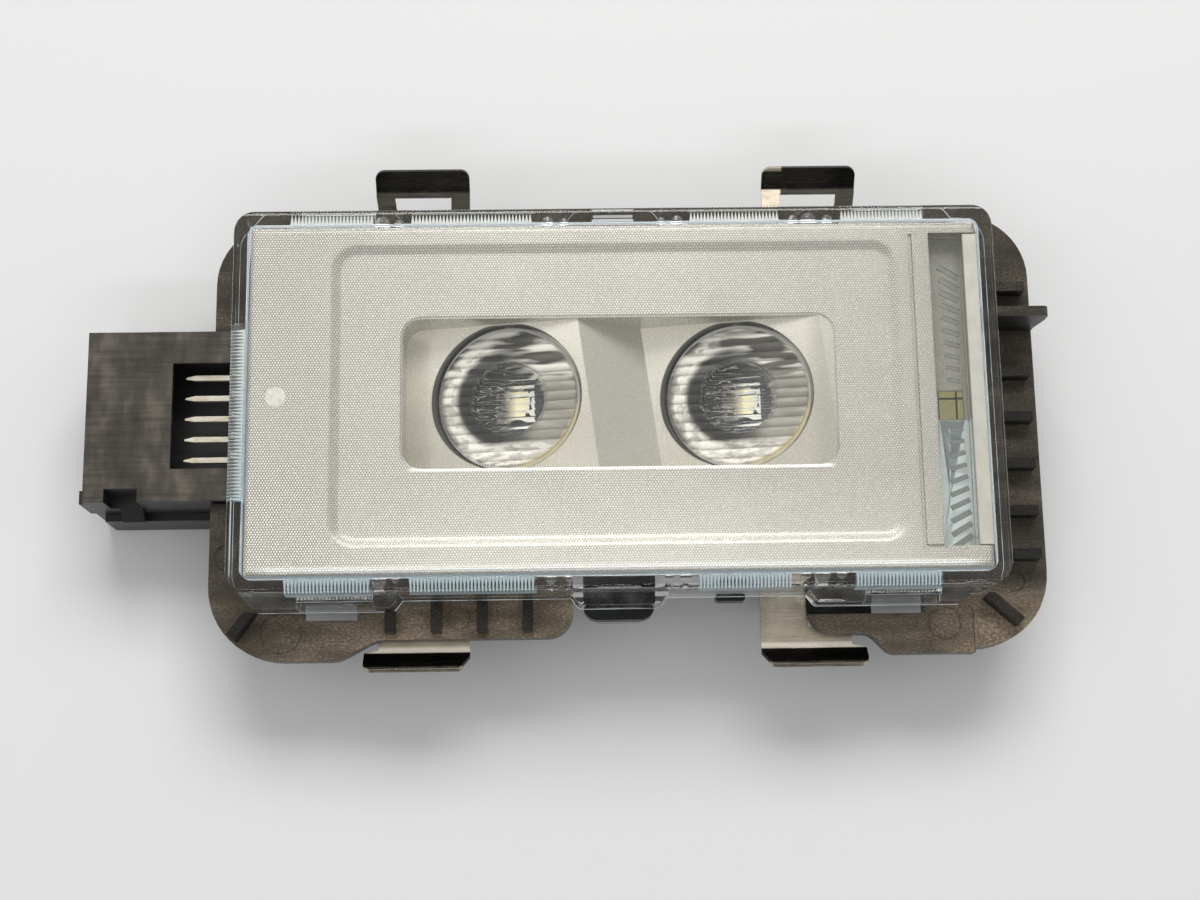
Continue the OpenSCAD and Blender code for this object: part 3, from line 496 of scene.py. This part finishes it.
def cover_haze(s):
    """Light that scatters in the flutes, the edges, the walls and the gate mark."""
    x, y, z = s.position()
    far_x = s.absolute(x)
    far_y = s.absolute(y)
    grain = s.remap(s.noise(1.5, 3.0), 0.35, 0.65, 0.85, 1.0)
    cloud = s.remap(s.noise(0.5, 2.0, stretch=(1, 1, 0.3)), 0.35, 0.65, 0.02, 0.12)
    runs = s.any_of(*[s.inside(x, left, right, 0.1) for left, right in FLUTED_RUNS])
    long_walls = s.all_of(s.inside(far_y, *LONG_WALL), runs)
    left_wall = s.all_of(s.inside(x, -END_WALL[1], -END_WALL[0]), s.inside(y, *FLUTED_LEFT, 0.1))
    fluted = s.all_of(s.any_of(long_walls, left_wall), s.inside(z, *FLUTES_Z))
    flutes = s.all_of(fluted, grain, s.remap(y, -20.0, 20.0, 0.9, 0.8))
    walls = s.any_of(s.remap(far_y, 21.25, 21.35), s.remap(far_x, 43.4, 43.5))
    haze = s.all_of(walls, s.inside(z, 12.9, 20.6, 0.2), cloud)
    along_edge = s.any_of(s.inside(far_y, 20.4, 21.4), s.inside(far_x, 42.6, 43.6))
    edge = s.all_of(s.inside(z, *TOP_EDGE_Z), along_edge, 0.45)
    disc = s.remap(s.radius(*GATE), GATE_R + 0.1, GATE_R - 0.1)
    gate = s.all_of(disc, s.inside(z, 19.9, 21.2), grain, s.noise(1.2, 3.0))
    flute_colour = s.mix_colour(s.remap(y, -20.0, 20.0), (0.42, 0.52, 0.56), (0.78, 0.82, 0.78))
    return (
        (haze, (0.62, 0.64, 0.62)),
        (flutes, flute_colour),
        (edge, (0.52, 0.68, 0.77)),
        (gate, (0.80, 0.79, 0.74)),
    )


def cover_glint(s):
    """Light that the cover's rim and sharp edges catch, apart from the flutes."""
    x, y, z = s.position()
    outer = s.any_of(s.remap(s.absolute(y), 22.0, 22.2), s.remap(s.absolute(x), 44.2, 44.4))
    rim = s.all_of(s.inside(z, *RIM_Z), outer)
    lines = s.all_of(s.edges(0.14), s.inside(z, *GLINT_Z, 0.1), 0.5)
    # Noise makes the painted glint patchy.
    uneven_sheen = s.remap(s.noise(0.35, 2.0), 0.35, 0.6, 0.35, 0.9)
    return s.all_of(s.any_of(rim, lines), uneven_sheen)


# Radii in a lens: the ribbed ring, the dark edge of the well, the well and the outer rim
RING_R = (4.6, 8.2)
WELL_EDGE_R = (4.3, 5.9)
WELL_R = 4.4
LENS_RIM_R = (8.25, 8.62)


def painted_lens_reflections(cx, cy):
    """Painted reflections in a lens: grey and bright bands, streaked along its ribs, with arcs and
    dark patches.
    """
    def haze(s):
        x, y, _ = s.position()
        u = s.minus(x, cx)
        v = s.minus(y, cy)
        r = s.radius(cx, cy)
        bands = s.remap(s.noise(0.45, 2.0, 0.5, stretch=(0.30, 1.9, 0.3)), 0.45, 0.56)
        fine = s.remap(s.noise(0.9, 2.0, 0.6, stretch=(0.6, 2.2, 0.3)), 0.42, 0.58)
        patches = s.remap(s.noise(0.8, 2.0), 0.42, 0.55)
        threads = s.inside(s.noise(1.0, 1.0, 0.5, stretch=(0.32, 2.2, 0.3)), 0.49, 0.51, 0.012)
        ring = s.inside(r, *RING_R, 0.3)
        well = s.remap(r, WELL_R + 0.1, WELL_R - 0.2)
        well_edge = s.inside(r, *WELL_EDGE_R, 0.4)
        rim = s.inside(r, *LENS_RIM_R, 0.1)
        left_arc = s.all_of(s.inside(r, 6.1, 7.7, 0.3), s.remap(u, -1.5, -3.5))
        corner = s.all_of(s.inside(r, 7.9, LENS_RIM_R[1], 0.08), s.remap(s.minus(u, v), 8.5, 10.5))
        rear = s.all_of(ring, s.remap(v, 1.5, 3.5))
        front = s.all_of(ring, s.remap(v, -5.0, -6.2))
        right = s.all_of(ring, s.remap(u, 1.5, 4.0))
        return (
            (s.all_of(ring, 0.70), (0.20, 0.19, 0.165)),
            (s.all_of(right, s.remap(bands, 0.0, 1.0, 0.35, 0.7)), (0.50, 0.48, 0.41)),
            (s.all_of(rear, s.none_of(bands), 0.7), (0.030, 0.029, 0.026)),
            (s.all_of(rear, bands, 0.8), (0.90, 0.88, 0.80)),
            (s.all_of(well_edge, s.remap(u, 3.0, -1.0), 0.85), (0.016, 0.016, 0.015)),
            (s.all_of(well, s.remap(u, 1.0, -0.5), 0.6), (0.030, 0.028, 0.025)),
            (s.all_of(well, threads, s.remap(u, 1.0, 0.0), 0.7), (0.78, 0.77, 0.72)),
            (s.all_of(left_arc, s.remap(patches, 0.0, 1.0, 0.35, 0.9)), (0.92, 0.89, 0.81)),
            (s.all_of(front, s.remap(fine, 0.0, 1.0, 0.35, 0.95)), (1.0, 0.97, 0.88)),
            (s.all_of(rim, 0.55), (0.70, 0.69, 0.64)),
            (s.all_of(corner, 0.6), (0.60, 0.50, 0.27)),
        )
    return haze


# The strokes are cut into the lower face of the guide between these heights
STROKES_Z = (16.85, 17.35)
# The light source parts the guide's lit front half from its rear half
HALVES_Y = (-3.2, -2.9)


def guide_haze(s):
    """Grey strokes, and painted blue-white light on the lit front half of the light guide."""
    _, y, z = s.position()
    rear = s.remap(y, *HALVES_Y)
    strokes = s.inside(z, *STROKES_Z, 0.02)
    under_side = s.remap(z, STROKES_Z[0] - 0.01, STROKES_Z[0] - 0.03)
    return (
        (s.all_of(s.none_of(rear), under_side, 0.85), (0.90, 0.97, 0.96)),
        (s.all_of(strokes, s.remap(rear, 0.0, 1.0, 0.95, 0.6)), (0.19, 0.195, 0.18)),
    )


# Other materials

HOLDER_TOP_Z = (18.8, 19.0)


def cream_plastic():
    """Cream holder: its floor, seen through the guide, has painted blue-white light in front and
    painted shade behind the rear half of the guide.
    """
    s = Shader("cream_plastic")
    _, y, z = s.position()
    cloud = s.noise(0.5, 3.0)
    fine = s.noise(3.0, 4.0)
    strip = s.ramp(cloud, [(0.3, (0.47, 0.45, 0.39)), (0.7, (0.56, 0.54, 0.475))])
    rear = s.ramp(fine, [(0.3, (0.26, 0.25, 0.205)), (0.7, (0.36, 0.345, 0.29))])
    front = s.ramp(cloud, [(0.3, (0.64, 0.70, 0.68)), (0.7, (0.72, 0.78, 0.76))])
    # Painted light and shade on the floor under the guide: blue-white in front, dark behind.
    channel = s.mix_colour(s.remap(y, *HALVES_Y), front, rear)
    colour = s.mix_colour(s.remap(z, *HOLDER_TOP_Z), channel, strip)
    normal = s.bump(fine, 0.03, 0.5, s.soft_edges(0.1))
    return s.finish(s.principled(colour, 0.42, normal))


# The clips' bent lips, the bend beside the front lips that carries a painted highlight, and the
# pale strip of a rear clip
LIPS_Y = (28.65, 30.42)
BRIGHT_BEND_Y = (-28.6, -28.0)
PALE_STRIP_X = (17.0, 21.1)


def rolled_steel():
    """Spring steel with rolling marks: a painted highlight on the bend beside the front lips,
    painted dark reflection on the bent lips, and darker at the rear.
    """
    s = Shader("rolled_spring_steel")
    x, y, _ = s.position()
    marks = s.noise(1.2, 4.0, 0.6, stretch=(0.2, 3.0, 3.0))
    stain = s.noise(0.3, 3.0)
    pale = s.ramp(stain, [(0.25, (0.40, 0.35, 0.275)), (0.75, (0.62, 0.55, 0.45))])
    # Painted highlight on the bend beside the front lips.
    bright = s.all_of(s.inside(y, *BRIGHT_BEND_Y, 0.15), 0.8)
    pale = s.mix_colour(bright, pale, (1.0, 0.94, 0.82))
    # Painted dark reflection: the bent lips are near black; the rear of the clips is darker too,
    # apart from one strip.
    lips = s.inside(s.absolute(y), *LIPS_Y)
    rear = s.all_of(s.remap(y, 20.0, 20.2), s.none_of(s.inside(x, *PALE_STRIP_X)))
    colour = s.mix_colour(s.all_of(s.any_of(lips, rear), 0.94), pale, BLACK)
    rough = s.remap(marks, 0.3, 0.7, 0.20, 0.36)
    normal = s.bump(marks, 0.01, 0.5, s.soft_edges(0.08))
    return s.finish(s.principled(colour, rough, normal, Metallic=1.0))


def tin_plate():
    """Tin over brass, which shows where the pins are worn."""
    s = Shader("tin_plated_pin")
    wear = s.noise(1.5, 4.0, 0.6, stretch=(0.4, 2, 2))
    colour = s.ramp(wear, [(0.35, (0.72, 0.62, 0.44)), (0.6, (0.90, 0.86, 0.76))])
    return s.finish(s.principled(colour, 0.24, s.soft_edges(0.08), Metallic=0.7))


def board_black():
    """Black solder mask over wide tracks, which shows through the lenses."""
    s = Shader("board_black_mask")
    tracks = s.noise(0.8, 1.0, stretch=(1, 0.25, 1))
    colour = s.ramp(tracks, [(0.48, (0.012, 0.013, 0.013)), (0.52, (0.03, 0.031, 0.031))])
    return s.finish(s.principled(colour, 0.3, s.bump(tracks, 0.03, 0.3)))


PHOSPHOR_Z = (11.6, 11.66)


def led_package():
    """Yellow phosphor dome on a white package."""
    s = Shader("led_package")
    _, _, z = s.position()
    fine = s.noise(4.0, 3.0)
    phosphor = s.ramp(fine, [(0.3, (0.92, 0.78, 0.42)), (0.7, (0.96, 0.88, 0.62))])
    colour = s.mix_colour(s.remap(z, *PHOSPHOR_Z), (0.84, 0.82, 0.76), phosphor)
    return s.finish(s.principled(colour, 0.35))


def ambient_package():
    """The light source under the guide, of a duller yellow, with a weak painted glow."""
    s = Shader("ambient_package")
    fine = s.noise(1.6, 3.0)
    colour = s.ramp(fine, [(0.35, (0.80, 0.70, 0.25)), (0.65, (0.88, 0.84, 0.52))])
    glow = {"Emission_Color": (0.85, 0.76, 0.30), "Emission_Strength": 0.20}
    return s.finish(s.principled(colour, 0.4, **glow))


def chip_resin():
    s = Shader("chip_resin")
    fine = s.noise(6.0, 4.0)
    colour = s.ramp(fine, [(0.3, (0.015, 0.015, 0.016)), (0.7, (0.03, 0.03, 0.032))])
    return s.finish(s.principled(colour, 0.5, s.bump(fine, 0.01, 0.4, s.soft_edges(0.08))))


def bright_can():
    s = Shader("capacitor_can")
    turned = s.noise(3.0, 3.0, stretch=(1, 1, 4))
    rough = s.remap(turned, 0.3, 0.7, 0.2, 0.35)
    return s.finish(s.principled((0.75, 0.75, 0.74), rough, s.soft_edges(0.1), Metallic=1.0))


def lens_plastic(name, place):
    return clear_plastic(name, (0.97, 0.98, 0.96), 0.0, 0.01, painted_lens_reflections(*place))


LED = led_package()

FINISHES = {
    "base_housing": textured_plastic(),
    "clear_cover": clear_plastic(
        "cover_clear_plastic", (0.98, 0.99, 1.0), 0.0, 0.02, cover_haze, cover_glint),
    "inner_bezel": bezel_plastic(),
    "lens_left": lens_plastic("lens_left_clear_plastic", LENSES[0]),
    "lens_right": lens_plastic("lens_right_clear_plastic", LENSES[1]),
    "light_guide": clear_plastic(
        "guide_clear_plastic", (0.95, 0.98, 0.98), 0.03, 0.02, guide_haze),
    "guide_holder": cream_plastic(),
    "circuit_board": board_black(),
    "led_left": LED,
    "led_right": LED,
    "led_ambient": ambient_package(),
    "driver_chip": chip_resin(),
    "filter_capacitors": bright_can(),
    "board_resistors": chip_resin(),
    "connector_header": satin_plastic(),
}
FAMILIES = {"contact_pin": tin_plate(), "spring_clip": rolled_steel()}
for name in nodes:
    for prefix, material in FAMILIES.items():
        if name.startswith(prefix):
            FINISHES[name] = material

for name, material in FINISHES.items():
    for slot in nodes[name].material_slots:
        slot.material = material


# Floor, lamps, world and camera, in metres

FLOOR_SIZE = 3.0
WHITE = (1.0, 1.0, 1.0)


def floor():
    mesh = bpy.data.meshes.new("floor")
    h = FLOOR_SIZE / 2
    mesh.from_pydata([(-h, -h, 0), (h, -h, 0), (h, h, 0), (-h, h, 0)], [], [(0, 1, 2, 3)])
    obj = bpy.data.objects.new("floor", mesh)
    bpy.context.scene.collection.objects.link(obj)
    obj.location.z = cad_box[0][2]
    s = Shader("pale_floor")
    obj.data.materials.append(s.finish(s.principled((0.74, 0.75, 0.76), 0.75)))


def area_lamp(name, place, size, power, colour):
    """A soft lamp that points at the light's face."""
    data = bpy.data.lights.new(name, "AREA")
    data.shape = "RECTANGLE"
    data.size, data.size_y = size
    data.energy = power
    data.color = colour
    obj = bpy.data.objects.new(name, data)
    obj.location = place
    aim = Vector((0, 0, COVER_TOP)) - Vector(place)
    obj.rotation_euler = aim.to_track_quat("-Z", "Y").to_euler()
    bpy.context.scene.collection.objects.link(obj)


# Colours of the sky at the horizon and overhead, how far up the upper one starts,
# how far the sky leans to the rear, and its strength
SKY_LOW = (0.13, 0.13, 0.13)
SKY_HIGH = (0.95, 0.94, 0.92)
SKY_TOP = 0.9
SKY_LEAN = 0.30
SKY_STRENGTH = 0.55


def world():
    """Even light from above that falls off towards the horizon and the front."""
    w = bpy.data.worlds.new("studio")
    w.use_nodes = True
    tree = w.node_tree
    tree.nodes.clear()
    coords = tree.nodes.new("ShaderNodeTexCoord")
    split = tree.nodes.new("ShaderNodeSeparateXYZ")
    lean = tree.nodes.new("ShaderNodeMath")
    lean.operation = "MULTIPLY_ADD"
    lean.inputs[1].default_value = SKY_LEAN
    ramp = tree.nodes.new("ShaderNodeValToRGB")
    stops = ((0.0, SKY_LOW), (SKY_TOP, SKY_HIGH))
    for element, (place, colour) in zip(ramp.color_ramp.elements, stops):
        element.position = place
        element.color = (*colour, 1)
    back = tree.nodes.new("ShaderNodeBackground")
    back.inputs["Strength"].default_value = SKY_STRENGTH
    out = tree.nodes.new("ShaderNodeOutputWorld")
    tree.links.new(coords.outputs["Generated"], split.inputs[0])
    tree.links.new(split.outputs["Y"], lean.inputs[0])
    tree.links.new(split.outputs["Z"], lean.inputs[2])
    tree.links.new(lean.outputs[0], ramp.inputs["Fac"])
    tree.links.new(ramp.outputs["Color"], back.inputs["Color"])
    tree.links.new(back.outputs["Background"], out.inputs["Surface"])
    bpy.context.scene.world = w


# The camera was fitted to the cover's corners and the row of pins. Its place is in
# millimetres from the middle of the cover's top.
CAMERA_PLACE = (-5.81, -54.49, 213.47)
CAMERA_TURN = (0.22, -0.017, -0.012)
SENSOR_WIDTH = 36
FOCAL_PX = 1900
IMAGE_PX = 1200


def camera():
    data = bpy.data.cameras.new("camera")
    data.sensor_width = SENSOR_WIDTH
    data.lens = SENSOR_WIDTH * FOCAL_PX / IMAGE_PX
    data.clip_start = 0.01
    obj = bpy.data.objects.new("camera", data)
    x, y, z = CAMERA_PLACE
    obj.location = (x * MM, y * MM, z * MM + COVER_TOP)
    obj.rotation_mode = "ZYX"
    obj.rotation_euler = Euler(CAMERA_TURN, "ZYX")
    bpy.context.scene.collection.objects.link(obj)
    bpy.context.scene.camera = obj


floor()
area_lamp("rear", (0.04, 0.42, 0.50), (0.50, 0.28), 3.0, (1.0, 0.985, 0.955))
area_lamp("fill", (-0.40, -0.10, 0.45), (0.40, 0.40), 0.45, WHITE)
area_lamp("front", (0.02, -0.34, 0.45), (0.50, 0.05), 0.4, WHITE)
area_lamp("side", (0.45, -0.05, 0.40), (0.25, 0.40), 0.15, WHITE)
world()
camera()
bpy.context.scene.view_settings.view_transform = "Standard"
